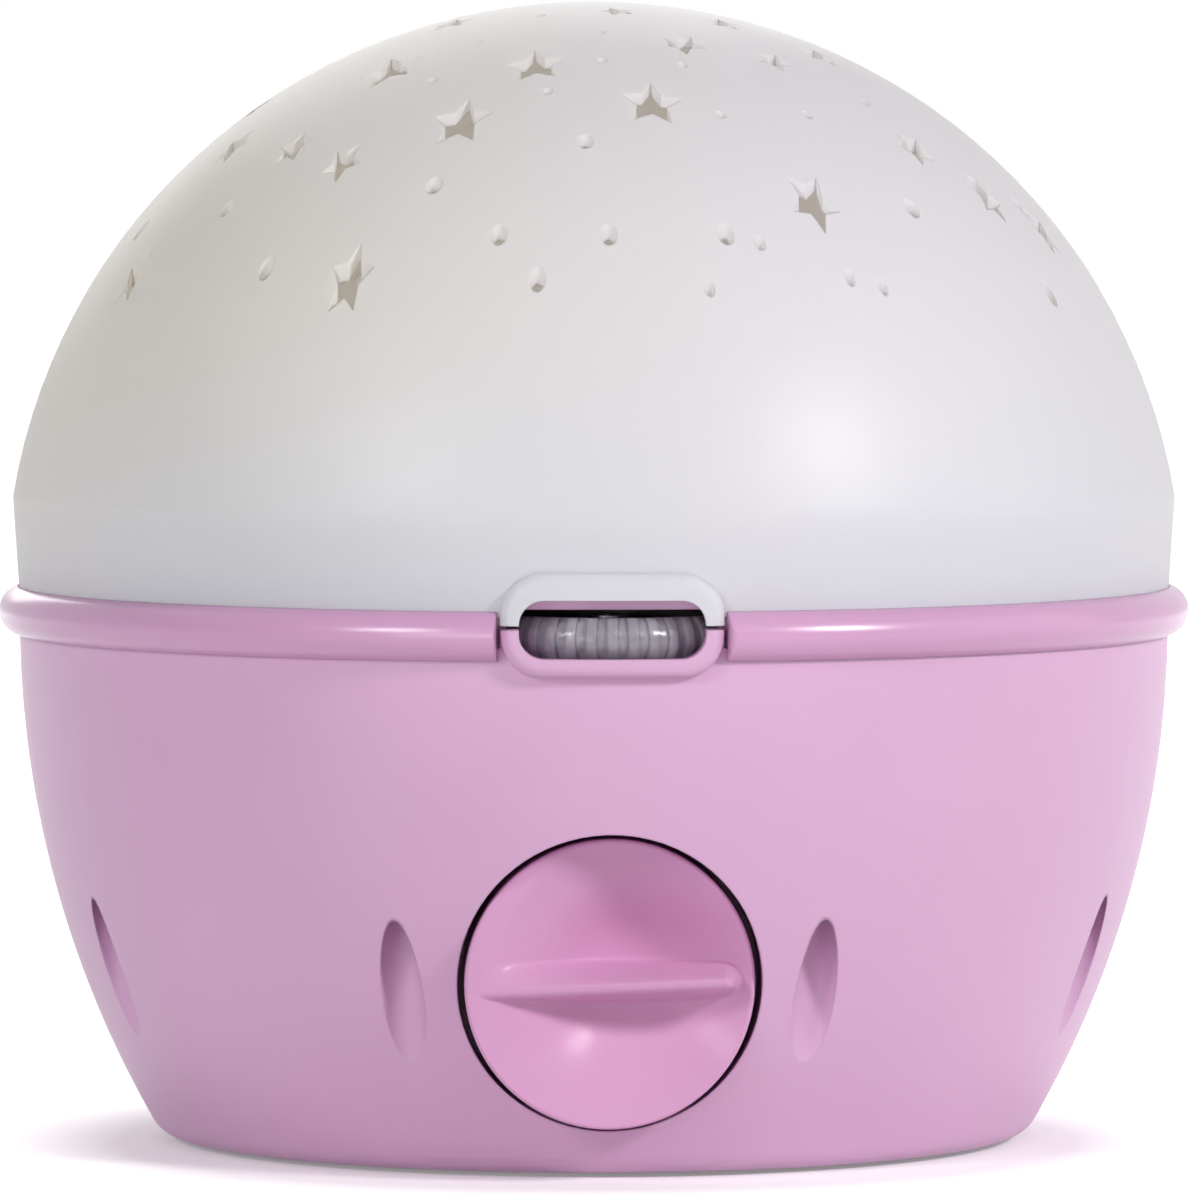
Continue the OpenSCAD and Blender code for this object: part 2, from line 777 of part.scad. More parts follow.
module speaker_frame() {
    color("silver") translate([0, -speaker_y, speaker_z]) difference() {
        rotate_extrude() polygon([
            [speaker_r - 2.5, 0], [speaker_r, 0], [speaker_r, 1], [speaker_r - 1.8, 1],
            [11, 5.5], [7, 5.5], [7, 4.7], [10.5, 4.7], [speaker_r - 2.5, 0.6],
        ]);
        for (a = [0:90:359]) rotate([0, 0, a + 45]) translate([12.5, 0, 0]) cylinder(r = 1.8, h = 9);
    }
}

module speaker_cone() {
    color("black") translate([0, -speaker_y, speaker_z]) rotate_extrude() polygon([
        [0, 2.9], [4, 2.5], [6, 3.3], [speaker_r - 3.2, 0], [speaker_r - 2.6, 0],
        [speaker_r - 2.6, 0.4], [6.4, 4.2], [3.6, 3.2], [0, 3.6],
    ]);
}

module speaker_magnet() {
    color("dimgray") translate([0, -speaker_y, speaker_z + 5.5]) {
        cylinder(r = 10, h = 4.5);
        translate([0, 0, 4.5]) cylinder(r = 9.2, h = 1);
    }
}

module speaker_clips(low, r, high) {
    for (a = clip_angles) rotate([0, 0, a]) translate([speaker_r + 2.5, 0, low]) cylinder(r = r, h = high);
}

module speaker_screws() {
    color("gainsboro") translate([0, -speaker_y, speaker_z + 1]) for (a = clip_angles)
        rotate([0, 0, a]) translate([speaker_r + 2.5, 0, 0]) cap_screw(0.8, 2.8, 3, 1.1);
}

// Walls of the battery box, standing on the bottom plate
module battery_box() {
    outer = [box_in[0] + 2 * box_wall, box_in[1] + 2 * box_wall];
    difference() {
        translate([-outer[0] / 2, box_y - outer[1] / 2, underside_z])
            cube([outer[0], outer[1], box_top + box_wall - underside_z]);
        translate([-box_in[0] / 2, box_y - box_in[1] / 2, -1])
            cube([box_in[0], box_in[1], box_top + 1]);
    }
    for (p = board_posts)
        translate([p[0], p[1], box_top + box_wall - eps]) cylinder(r = 2.6, h = 4 + eps);
}

module bottom_plate() {
    color("orchid") difference() {
        union() {
            translate([0, 0, underside_z]) cylinder(r = plate_r, h = wall);
            battery_box();
            for (a = screw_posts) post(screw_ring, 5.4, underside_z, floor_top + 2.3, a);
            translate([0, lock_y, underside_z]) cylinder(r = lock_pad_r, h = 4);
            translate([-lock_pad_r, box_y, underside_z]) cube([2 * lock_pad_r, lock_y - box_y, 4]);
            translate([0, lock_y, underside_z]) cylinder(r = lock_pad_r / 2, h = 8);
            translate([0, -speaker_y, floor_top - eps]) difference() {
                cylinder(r = speaker_r + 1.6, h = 1.6);
                translate([0, 0, -1]) cylinder(r = speaker_r + fit_gap, h = 4);
            }
            translate([0, -speaker_y, 0]) difference() {
                cylinder(r = speaker_r - 0.1, h = speaker_z);
                translate([0, 0, -1]) cylinder(r = speaker_r - 2.6, h = 9);
            }
            translate([0, -speaker_y, 0]) speaker_clips(floor_top - eps, 2.2, speaker_z + 1 - floor_top);
        }
        translate([-body_r, -body_r, underside_z - 20]) cube([2 * body_r, 2 * body_r, 20]);
        translate([-box_in[0] / 2, box_y - box_in[1] / 2, -1]) cube([box_in[0], box_in[1], box_top + 1]);
        door_outline(door_gap);
        for (x = [-1, 1]) translate([x * hook_x - hook_w / 2 - 0.6, hinge_y - 3, floor_top + 0.1])
            cube([hook_w + 1.2, 5, 2.4]);
        for (a = screw_posts) {
            post(screw_ring, screw_r + 0.2, 0, 9, a);
            post(screw_ring, head_r + 0.3, 0, underside_z + 2.4, a);
            post(screw_ring, foot_r + 0.1, 0, underside_z + foot_t - 0.5, a);
        }
        translate([0, lock_y, 0]) cylinder(r = screw_r + 0.7, h = 7);
        for (p = board_posts) translate([p[0], p[1], board_z - 3.2]) cylinder(r = 1, h = 4);
        translate([0, -speaker_y, 0]) grille_holes();
        translate([0, -speaker_y, speaker_z - 2]) speaker_clips(0, 0.85, 4);
    }
}

// Round sound holes on rings under the speaker
module grille_holes() {
    for (ring = [0:3]) {
        count = ring == 0 ? 1 : 6 * ring;
        for (i = [0:count - 1]) rotate([0, 0, 360 / count * i])
            translate([ring * 3.6, 0, -1]) cylinder(r = grille_r, h = 6);
    }
}

// The battery door's outline, wider by a given gap, with its lock tongue at the back
module door_outline(gap) {
    translate([-box_in[0] / 2 + 1 - gap, hinge_y - gap, -1])
        cube([box_in[0] - 2 + 2 * gap, box_in[1] - 1.2 + 2 * gap, 1 + underside_z + door_t + gap]);
    translate([-tongue_r - gap, box_y, -1])
        cube([2 * (tongue_r + gap), lock_y - box_y, 1 + underside_z + door_t + gap]);
    translate([0, lock_y, -1]) cylinder(r = tongue_r + gap, h = 1 + underside_z + door_t + gap);
}

// Hook on the door's front edge, its outer end rounded about the line that the door swings on
module door_hook() {
    intersection() {
        union() {
            translate([0, -1.6, floor_top + 0.2]) cube([hook_w, 3.4, 1.2]);
            translate([0, 0.4, underside_z + door_t - eps])
                cube([hook_w, 1.4, floor_top + 1.4 - underside_z - door_t]);
        }
        translate([-1, 0, underside_z]) rotate([0, 90, 0]) cylinder(r = hook_r, h = hook_w + 2);
    }
}

module battery_door() {
    color("orchid") difference() {
        union() {
            intersection() {
                door_outline(0);
                translate([-body_r, -body_r, underside_z]) cube([2 * body_r, 2 * body_r, door_t]);
            }
            for (x = [-1, 1]) translate([x * hook_x - hook_w / 2, hinge_y, 0]) door_hook();
        }
        translate([0, lock_y, -1]) cylinder(r = screw_r + 0.1, h = 9);
        translate([0, lock_y, -1]) cylinder(r = head_r + 0.2, h = 1 + underside_z + 1);
        for (i = [0:4]) translate([-8, box_y + 8 + 2 * i, 0]) cube([16, 0.8, underside_z + 0.4]);
    }
}

module door_screw() {
    color("gainsboro") translate([0, lock_y, underside_z + 1]) rotate([180, 0, 0])
        cap_screw(screw_r, 4.2, head_r, 0.9);
}

module plate_screws() {
    color("gainsboro") for (a = screw_posts) rotate([0, 0, a])
        translate([screw_ring, 0, underside_z + 2.4]) rotate([180, 0, 0])
            cap_screw(screw_r - 0.05, 9, head_r, 1.1);
}

module feet() {
    color("dimgray") for (a = screw_posts) post(screw_ring, foot_r, 0, foot_t - 0.05, a);
}

function cell_y(i) = box_y + (i - 1) * cell_pitch;
function cell_turn(i) = i % 2 == 0 ? 0 : 180;

// Three AA cells lying along X, each turned end for end from its neighbour
module batteries() {
    nub = 1;
    color("gold") for (i = [0:2]) translate([0, cell_y(i), cell_z]) rotate([0, 0, cell_turn(i)])
        translate([cell_start, 0, 0]) rotate([0, -90, 0]) {
            cylinder(r = 2.7, h = nub + eps);
            translate([0, 0, nub]) cylinder(r = cell_r, h = cell_l - nub);
        }
}

module contact_plates() {
    color("lightgray") for (i = [0:2], end = [-1, 1])
        translate([end * (box_in[0] - contact_t) / 2, cell_y(i), cell_z])
            cube([contact_t - eps, 12, 13], center = true);
}

// Points of a coil along Z that narrows from one radius to the other
function coil_ring(r, z, turn, wire, sides) = [
    for (k = [0:sides - 1])
        let (a = 360 / sides * k, out = r + wire * cos(a))
        [out * cos(turn), out * sin(turn), z + wire * sin(a)]
];

module coil(r1, r2, l, turns, wire) {
    steps = 14 * turns;
    sides = 6;
    points = [
        for (i = [0:steps])
            let (t = i / steps)
            each coil_ring(r1 + (r2 - r1) * t, wire + (l - 2 * wire) * t, 360 * turns * t, wire, sides)
    ];
    skin = [
        for (i = [0:steps - 1], k = [0:sides - 1])
            let (a = i * sides + k, b = i * sides + (k + 1) % sides)
            each [[a, b, b + sides], [a, b + sides, a + sides]]
    ];
    polyhedron(concat(points), concat(
        skin,
        [[for (k = [sides - 1:-1:0]) k]],
        [[for (k = [0:sides - 1]) steps * sides + k]]
    ));
}

// Springs at the flat end of each cell
module contact_springs() {
    room = box_in[0] - 2 * contact_t - 0.1 - cell_l - 0.1;
    color("lightgray") for (i = [0:2]) translate([0, cell_y(i), cell_z]) rotate([0, 0, cell_turn(i)])
        translate([-box_in[0] / 2 + contact_t + 0.05, 0, 0]) rotate([0, 90, 0])
            coil(5, 3.4, room - 0.05, 4, 0.4);
}

dome_shell();
base_shell();
rim_ring();
thumb_wheel();
wheel_spindle();
wheel_screw();
wheel_pot();
wheel_board();
wheel_board_screws();
selector_knob();
switch_shaft();
switch_body();
switch_nut();
light_deck();
deck_screws();
lamp_board();
lamps();
main_board();
board_parts();
board_screws();
speaker_frame();
speaker_cone();
speaker_magnet();
speaker_screws();
bottom_plate();
plate_screws();
feet();
battery_door();
door_screw();
batteries();
contact_plates();
contact_springs();
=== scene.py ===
import json
import math
import bmesh
import bpy
from mathutils import Matrix, Vector


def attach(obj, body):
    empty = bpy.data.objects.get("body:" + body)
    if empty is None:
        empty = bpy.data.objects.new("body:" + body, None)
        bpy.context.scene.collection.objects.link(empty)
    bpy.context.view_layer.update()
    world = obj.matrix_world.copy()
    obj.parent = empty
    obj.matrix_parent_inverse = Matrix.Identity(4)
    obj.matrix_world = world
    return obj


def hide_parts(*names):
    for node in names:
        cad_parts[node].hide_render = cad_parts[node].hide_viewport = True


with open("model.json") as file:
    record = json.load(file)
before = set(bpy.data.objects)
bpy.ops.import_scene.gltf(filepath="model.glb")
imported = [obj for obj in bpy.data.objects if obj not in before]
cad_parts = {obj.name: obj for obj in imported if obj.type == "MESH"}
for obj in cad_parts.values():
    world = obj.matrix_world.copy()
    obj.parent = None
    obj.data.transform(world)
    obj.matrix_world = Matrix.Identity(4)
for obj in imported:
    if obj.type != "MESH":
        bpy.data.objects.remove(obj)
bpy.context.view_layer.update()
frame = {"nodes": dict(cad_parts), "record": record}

mm = 0.001
scene = bpy.context.scene
print("packed model loaded")


def paint(colour):
    # a screen colour from 0 to 255 as Blender's linear colour
    parts = [value / 255 for value in colour]
    return (*[part / 12.92 if part <= 0.04045 else ((part + 0.055) / 1.055) ** 2.4 for part in parts], 1)


def newFinish(name):
    finish = bpy.data.materials.new(name)
    finish.use_nodes = True
    tree = finish.node_tree
    tree.nodes.clear()
    output = tree.nodes.new("ShaderNodeOutputMaterial")
    shader = tree.nodes.new("ShaderNodeBsdfPrincipled")
    tree.links.new(shader.outputs["BSDF"], output.inputs["Surface"])
    return finish, tree, shader, output


def placeOf(tree):
    return tree.nodes.new("ShaderNodeTexCoord").outputs["Object"]


def axesOf(tree):
    node = tree.nodes.new("ShaderNodeSeparateXYZ")
    tree.links.new(placeOf(tree), node.inputs["Vector"])
    return node.outputs


def speckle(tree, scale, detail=2.0, rough=0.5, stretch=(1, 1, 1)):
    mapping = tree.nodes.new("ShaderNodeMapping")
    mapping.inputs["Scale"].default_value = stretch
    noise = tree.nodes.new("ShaderNodeTexNoise")
    noise.inputs["Scale"].default_value = scale
    noise.inputs["Detail"].default_value = detail
    noise.inputs["Roughness"].default_value = rough
    tree.links.new(placeOf(tree), mapping.inputs["Vector"])
    tree.links.new(mapping.outputs["Vector"], noise.inputs["Vector"])
    return noise.outputs["Fac"]


def colourBand(tree, value, first, last, places=(0.35, 0.65)):
    # turns from the first colour to the last as the value passes the two places
    node = tree.nodes.new("ShaderNodeValToRGB")
    for element, place, colour in zip(node.color_ramp.elements, places, (first, last)):
        element.position = place
        element.color = paint(colour)
    tree.links.new(value, node.inputs["Fac"])
    return node.outputs["Color"]


def remap(tree, value, fromRange, toRange):
    node = tree.nodes.new("ShaderNodeMapRange")
    node.inputs["From Min"].default_value, node.inputs["From Max"].default_value = fromRange
    node.inputs["To Min"].default_value, node.inputs["To Max"].default_value = toRange
    tree.links.new(value, node.inputs["Value"])
    return node.outputs["Result"]


def reckon(tree, operation, *values):
    node = tree.nodes.new("ShaderNodeMath")
    node.operation = operation
    for socket, value in zip(node.inputs, values):
        if isinstance(value, (int, float)):
            socket.default_value = value
        else:
            tree.links.new(value, socket)
    return node.outputs["Value"]


def tintOver(tree, share, under, over):
    node = tree.nodes.new("ShaderNodeMix")
    node.data_type = "RGBA"
    tree.links.new(share, node.inputs["Factor"])
    tree.links.new(under, node.inputs["A"])
    tree.links.new(over, node.inputs["B"])
    return node.outputs["Result"]


def roughen(tree, shader, grain, limits):
    tree.links.new(remap(tree, grain, (0, 1), limits), shader.inputs["Roughness"])


skin = {"relief": 0.2, "samples": 6}     # mm of the deepest grain, and samples of an edge's rounding


def mouldedSkin(tree, shader, height, depth, edge, edgeField=None):
    # fine mould texture, and edges broken by a small radius in mm
    bump = tree.nodes.new("ShaderNodeBump")
    bump.inputs["Strength"].default_value = depth
    bump.inputs["Distance"].default_value = skin["relief"] * mm
    tree.links.new(height, bump.inputs["Height"])
    if edge:
        bevel = tree.nodes.new("ShaderNodeBevel")
        bevel.samples = skin["samples"]
        bevel.inputs["Radius"].default_value = edge * mm
        if edgeField:
            tree.links.new(edgeField, bevel.inputs["Radius"])
        tree.links.new(bevel.outputs["Normal"], bump.inputs["Normal"])
    tree.links.new(bump.outputs["Normal"], shader.inputs["Normal"])


def letLightThrough(tree, shader, output, look):
    # the skin scatters most of the light, and a share of it goes on through the wall
    glow = tree.nodes.new("ShaderNodeBsdfTranslucent")
    glow.inputs["Color"].default_value = paint(look["glow"])
    mix = tree.nodes.new("ShaderNodeMixShader")
    mix.inputs["Fac"].default_value = look["through"]
    tree.links.new(shader.outputs["BSDF"], mix.inputs[1])
    tree.links.new(glow.outputs["BSDF"], mix.inputs[2])
    tree.links.new(mix.outputs["Shader"], output.inputs["Surface"])


# cloud and grain are each a noise's scale, detail and roughness, and edge is a radius in mm
mould = {"cloud": (25, 3), "grain": (2200, 2, 0.6), "depth": 0.03, "coat": 0.0, "coatRough": 0.12}
plastics = {
    "basePlastic": {"deep": (210, 166, 202), "pale": (214, 170, 206), "rough": (0.36, 0.44), "edge": 0.4},
    "ringPlastic": {"deep": (204, 153, 193), "pale": (208, 157, 197), "rough": (0.20, 0.28), "edge": 0.45,
                    "coat": 0.1},
    "deckPlastic": {"deep": (236, 229, 208), "pale": (241, 235, 215), "rough": (0.46, 0.54), "edge": 0.3},
    "darkPlastic": {"deep": (38, 38, 41), "pale": (50, 50, 53), "rough": (0.46, 0.54), "edge": 0.15},
    "footRubber": {"deep": (48, 48, 50), "pale": (60, 60, 62), "rough": (0.71, 0.79), "edge": 0.3},
    "ferrite": {"deep": (62, 62, 66), "pale": (84, 84, 88), "rough": (0.56, 0.64), "edge": 0.2},
    "wheelPlastic": {"deep": (150, 144, 156), "pale": (178, 173, 184), "rough": (0.15, 0.28), "edge": 0.75,
                     "cloud": (260, 3), "grain": (3000, 2, 0.6), "depth": 0.05, "coat": 0.4,
                     "coatRough": 0.1, "through": 0.25, "glow": (196, 190, 202)},
}


def mouldedPlastic(name, look):
    finish, tree, shader, output = newFinish(name)
    tone = colourBand(tree, speckle(tree, *look["cloud"]), look["deep"], look["pale"])
    tree.links.new(tone, shader.inputs["Base Color"])
    grain = speckle(tree, *look["grain"])
    roughen(tree, shader, grain, look["rough"])
    mouldedSkin(tree, shader, grain, look["depth"], look["edge"])
    shader.inputs["Coat Weight"].default_value = look["coat"]
    shader.inputs["Coat Roughness"].default_value = look["coatRough"]
    if "through" in look:
        letLightThrough(tree, shader, output, look)
    return finish


finishes = {name: mouldedPlastic(name, {**mould, **look}) for name, look in plastics.items()}

dome = {
    "warmLight": (233, 232, 231), "pale": (231, 230, 240), "coolReflection": (221, 226, 238),
    "warmLightTo": (-0.02, 0.05), "warmLightDrift": 0.06,       # painted warm light on the left: metres along X, and how far the clouds bend it
    "reflectionTo": (0.088, 0.118), "reflectionDrift": 0.03,      # painted cool reflection: metres up, cool below them
    "reflectionShare": 0.85, "reflectionPlaces": (0.3, 0.8),
    "cloud": (14, 2, 0.45), "grain": (1600, 2, 0.6), "depth": 0.03,
    "rough": (0.36, 0.44), "gloss": 0.45, "edge": 0.35,
    "foldAt": 0.0805, "foldSpan": (0.004, 0.008), "foldEdge": 3.5,    # metres up and off it, radius in mm
    "through": 0.36, "glow": (254, 250, 242),
}


def milkyDome(look):
    finish, tree, shader, output = newFinish("domePlastic")
    axes = axesOf(tree)
    cloud = speckle(tree, *look["cloud"])
    # painted warm light: the left side is tinted warm, the right side pale
    sideways = reckon(tree, "MULTIPLY_ADD", cloud, look["warmLightDrift"], axes["X"])
    right = remap(tree, sideways, look["warmLightTo"], (0, 1))
    upper = colourBand(tree, right, look["warmLight"], look["pale"], (0, 1))
    # painted reflection: a cool band low on the dome, below these heights
    upwards = reckon(tree, "MULTIPLY_ADD", cloud, look["reflectionDrift"], axes["Z"])
    low = remap(tree, upwards, look["reflectionTo"], (look["reflectionShare"], 0))
    coolReflection = colourBand(tree, cloud, look["coolReflection"], look["pale"], look["reflectionPlaces"])
    tree.links.new(tintOver(tree, low, upper, coolReflection), shader.inputs["Base Color"])
    grain = speckle(tree, *look["grain"])
    roughen(tree, shader, grain, look["rough"])
    shader.inputs["Specular IOR Level"].default_value = look["gloss"]
    # the fold between the ball and the skirt is a wide soft bend
    fromFold = reckon(tree, "ABSOLUTE", reckon(tree, "SUBTRACT", axes["Z"], look["foldAt"]))
    edges = remap(tree, fromFold, look["foldSpan"], (look["foldEdge"] * mm, look["edge"] * mm))
    mouldedSkin(tree, shader, grain, look["depth"], look["edge"], edges)
    letLightThrough(tree, shader, output, look)
    return finish


finishes["domePlastic"] = milkyDome(dome)

steel = {"deep": (172, 172, 176), "pale": (206, 206, 208), "places": (0.3, 0.7), "rough": (0.22, 0.4),
         "streak": (500, 3, 0.6, (1, 1, 6)), "smear": 900, "depth": 0.02, "edge": 0.1}


def drawnSteel(look):
    finish, tree, shader, output = newFinish("brightSteel")
    streak = speckle(tree, *look["streak"])
    tone = colourBand(tree, streak, look["deep"], look["pale"], look["places"])
    tree.links.new(tone, shader.inputs["Base Color"])
    roughen(tree, shader, speckle(tree, look["smear"]), look["rough"])
    shader.inputs["Metallic"].default_value = 1
    mouldedSkin(tree, shader, streak, look["depth"], look["edge"])
    return finish


lens = {"deep": (236, 236, 228), "pale": (246, 246, 240), "places": (0.3, 0.7), "cloud": 300, "smear": 700,
        "rough": (0.08, 0.18), "clear": 0.7}


def clearLens(look):
    finish, tree, shader, output = newFinish("lampLens")
    tone = colourBand(tree, speckle(tree, look["cloud"]), look["deep"], look["pale"], look["places"])
    tree.links.new(tone, shader.inputs["Base Color"])
    roughen(tree, shader, speckle(tree, look["smear"]), look["rough"])
    shader.inputs["Transmission Weight"].default_value = look["clear"]
    return finish


board = {"mask": ((30, 92, 54), (26, 88, 50)), "trace": (58, 124, 74), "grid": 420, "track": 0.06,
         "smear": 800, "rough": (0.28, 0.42), "depth": 0.1}


def circuitBoard(look):
    # solder mask over faint copper tracks that run along X and Y
    finish, tree, shader, output = newFinish("boardGreen")
    brick = tree.nodes.new("ShaderNodeTexBrick")
    brick.inputs["Scale"].default_value = look["grid"]
    brick.inputs["Mortar Size"].default_value = look["track"]
    brick.inputs["Color1"].default_value, brick.inputs["Color2"].default_value = map(paint, look["mask"])
    brick.inputs["Mortar"].default_value = paint(look["trace"])
    tree.links.new(placeOf(tree), brick.inputs["Vector"])
    tree.links.new(brick.outputs["Color"], shader.inputs["Base Color"])
    roughen(tree, shader, speckle(tree, look["smear"]), look["rough"])
    mouldedSkin(tree, shader, brick.outputs["Fac"], look["depth"], 0)
    return finish


cells = {
    "middleY": 0.014, "pitch": 0.015,                 # metres, the middle cell's axis and the way to the next
    "wrap": ((52, 78, 84), (60, 86, 92)),
    "cap": ((176, 180, 182), (184, 188, 190)),
    "steel": ((188, 188, 190), (198, 198, 200)),
    "capFrom": 0.0150, "steelFrom": 0.0246,           # metres from the middle along X
    "grain": (300, 3), "places": (0.4, 0.6), "rough": (0.24, 0.36), "depth": 0.02, "edge": 0.3,
}


def cellWrap(look):
    # plain wrap with a pale band at the nub end; the middle cell lies the other way round
    finish, tree, shader, output = newFinish("cellWrap")
    axes = axesOf(tree)
    offset = reckon(tree, "ABSOLUTE", reckon(tree, "SUBTRACT", axes["Y"], look["middleY"]))
    turned = reckon(tree, "LESS_THAN", offset, look["pitch"] / 2)
    along = reckon(tree, "MULTIPLY", axes["X"], reckon(tree, "MULTIPLY_ADD", turned, -2.0, 1.0))
    capped = reckon(tree, "GREATER_THAN", along, look["capFrom"])
    ends = reckon(tree, "GREATER_THAN", reckon(tree, "ABSOLUTE", axes["X"]), look["steelFrom"])
    grain = speckle(tree, *look["grain"])
    zones = [colourBand(tree, grain, *look[zone], look["places"]) for zone in ("wrap", "cap", "steel")]
    sleeve = tintOver(tree, capped, zones[0], zones[1])
    tree.links.new(tintOver(tree, ends, sleeve, zones[2]), shader.inputs["Base Color"])
    tree.links.new(ends, shader.inputs["Metallic"])
    roughen(tree, shader, grain, look["rough"])
    mouldedSkin(tree, shader, grain, look["depth"], look["edge"])
    return finish


cone = {"deep": (36, 35, 34), "pale": (58, 56, 54), "fibre": (1200, 4, 0.7), "rough": (0.75, 0.95),
        "depth": 0.3}


def paperCone(look):
    finish, tree, shader, output = newFinish("conePaper")
    fibre = speckle(tree, *look["fibre"])
    tree.links.new(colourBand(tree, fibre, look["deep"], look["pale"]), shader.inputs["Base Color"])
    roughen(tree, shader, fibre, look["rough"])
    mouldedSkin(tree, shader, fibre, look["depth"], 0)
    return finish


finishes["brightSteel"] = drawnSteel(steel)
finishes["lampLens"] = clearLens(lens)
finishes["boardGreen"] = circuitBoard(board)
finishes["cellWrap"] = cellWrap(cells)
finishes["conePaper"] = paperCone(cone)
print("finishes made")

# the knob's sizes are in mm, depths go back from the rim's plane, slopes are degrees at a distance
knob = {
    "axis": (0.0, -66.5, 24.5),       # middle of the rim's plane
    "barTurn": 2.5,                   # degrees, right end up
    "faceRadius": 17.15, "radius": 17.55, "lipSteps": 4,
    "deepest": 4.6, "depth": 8.1,     # the hollow's lowest place, right of the axis
    "lowSlopes": ((0, 0), (5, 13.5), (8.5, 23.5), (10.2, 28.5), (11.5, 28), (14, 24), (17, 21.5), (23, 20.5)),
    "highSlopes": ((0, 0), (5, 15), (8.5, 26.5), (10.2, 31), (12, 32), (17, 31), (23, 24)),
    "slopeStep": 0.1, "calm": 0.5, "rimEase": 0.25,
    "crestDepth": 0.1, "crestRadius": 1.2, "lowerSlope": 4.5, "fillet": 0.35, "leastFillet": 0.05,
    "noseAt": 13.8, "footAbove": 2.5, "footFall": 0.045, "upperTurn": 0.3, "upperFillet": 0.14,
    "rows": 150, "crowding": 1.5,
    "skirt": 14.7, "wall": 1.8, "capDepth": 11.4, "hubRadius": 4.9, "hubDepth": 12.5, "boreRadius": 3.05,
    "boreDepth": 8.6,
    # the hollow tone is painted shade, deeper and more saturated than the face
    "face": ((212, 158, 198), (216, 162, 202)), "hollow": ((209, 147, 190), (212, 150, 193)),
    "shadeBack": (2.5, 6.5), "shadeUp": (2, 7),     # where the hollow's painted shade comes in, from rim and bar
    "cloud": (25, 3), "grain": (900, 2, 0.5), "grainDepth": 0.012, "rough": (0.19, 0.27), "gloss": 0.09,
}


def knobShine(look):
    # smoother than the shells, with painted shade: a deeper, more saturated tone in the upper hollow
    finish, tree, shader, output = newFinish("knobPlastic")
    axes = axesOf(tree)
    faceY, barZ = look["axis"][1] * mm, look["axis"][2] * mm
    cloud = speckle(tree, *look["cloud"])
    face, hollow = [colourBand(tree, cloud, *look[zone]) for zone in ("face", "hollow")]
    # painted shade: the face tone turns to the hollow tone back from the rim and above the bar
    fromRim = reckon(tree, "SUBTRACT", axes["Y"], faceY)
    back = remap(tree, fromRim, [way * mm for way in look["shadeBack"]], (0, 1))
    above = remap(tree, axes["Z"], [barZ + way * mm for way in look["shadeUp"]], (0, 1))
    share = reckon(tree, "MULTIPLY", back, above)
    tree.links.new(tintOver(tree, share, face, hollow), shader.inputs["Base Color"])
    grain = speckle(tree, *look["grain"])
    roughen(tree, shader, grain, look["rough"])
    shader.inputs["Specular IOR Level"].default_value = look["gloss"]
    mouldedSkin(tree, shader, grain, look["grainDepth"], 0)
    return finish


def risesOf(slopes, step):
    # height of the hollow's wall at each step away from its lowest place
    rises = [0.0]
    for (start, first), (end, last) in zip(slopes, slopes[1:]):
        count = round((end - start) / step)
        for index in range(count):
            slope = first + (last - first) * (index + 0.5) / count
            rises.append(rises[-1] + step * math.tan(math.radians(slope)))
    return rises


def easeIn(value):
    value = min(max(value, 0), 1)
    return value * value * (3 - 2 * value)


def meetSoftly(first, second, blend):
    # the lesser of two depths, with a fillet where they meet
    overlap = max(blend - abs(first - second), 0) / blend
    return min(first, second) - overlap * overlap * blend / 4


def knobDepth(look, rises, x, z):
    # depth of the face: a round-bottomed hollow, and the grip bar that crosses it
    reach = math.hypot(x - look["deepest"], z)
    place = reach / look["slopeStep"]
    index = min(int(place), len(rises[0]) - 2)
    low, high = [rise[index] + (rise[index + 1] - rise[index]) * (place - index) for rise in rises]
    hollow = look["depth"] - low - (high - low) * easeIn(0.5 + z / max(reach, look["calm"]))
    hollow = 0.5 * (hollow + math.hypot(hollow, look["rimEase"]))       # eases into the rim on the left
    crest, radius, slope = look["crestDepth"], look["crestRadius"], look["lowerSlope"]
    side = math.hypot(max(x - look["noseAt"], 0), z)         # the bar's right end is round
    near = min(side, radius * slope / math.hypot(1, slope))
    bar = crest + radius - math.sqrt(radius * radius - near * near) + (side - near) * slope
    lower = meetSoftly(hollow, bar, max(look["fillet"] * hollow, look["leastFillet"]))
    # the upper flank leans back to a foot that runs level across the hollow
    turn = look["upperTurn"]
    toFoot = side / (look["footAbove"] - look["footFall"] * x)
    climb = (math.hypot(toFoot, turn) - turn) / (math.hypot(1, turn) - turn)
    upper = crest + (hollow - crest) * meetSoftly(climb, 1, look["upperFillet"])
    return lower + (upper - lower) * easeIn(0.5 + 0.5 * z / max(side, 0.001))    # never over zero


def drawRim(bm, edges, radius, depth=None, drop=0.0):
    # draws the rim on to a radius, and back by a drop or to a level depth
    grown = bmesh.ops.extrude_edge_only(bm, edges=edges)["geom"]
    for vert in grown:
        if isinstance(vert, bmesh.types.BMVert):
            now = math.hypot(vert.co.x, vert.co.z)
            y = vert.co.y + drop if depth is None else depth
            vert.co = (vert.co.x * radius / now, y, vert.co.z * radius / now)
    return [edge for edge in grown if isinstance(edge, bmesh.types.BMEdge)]


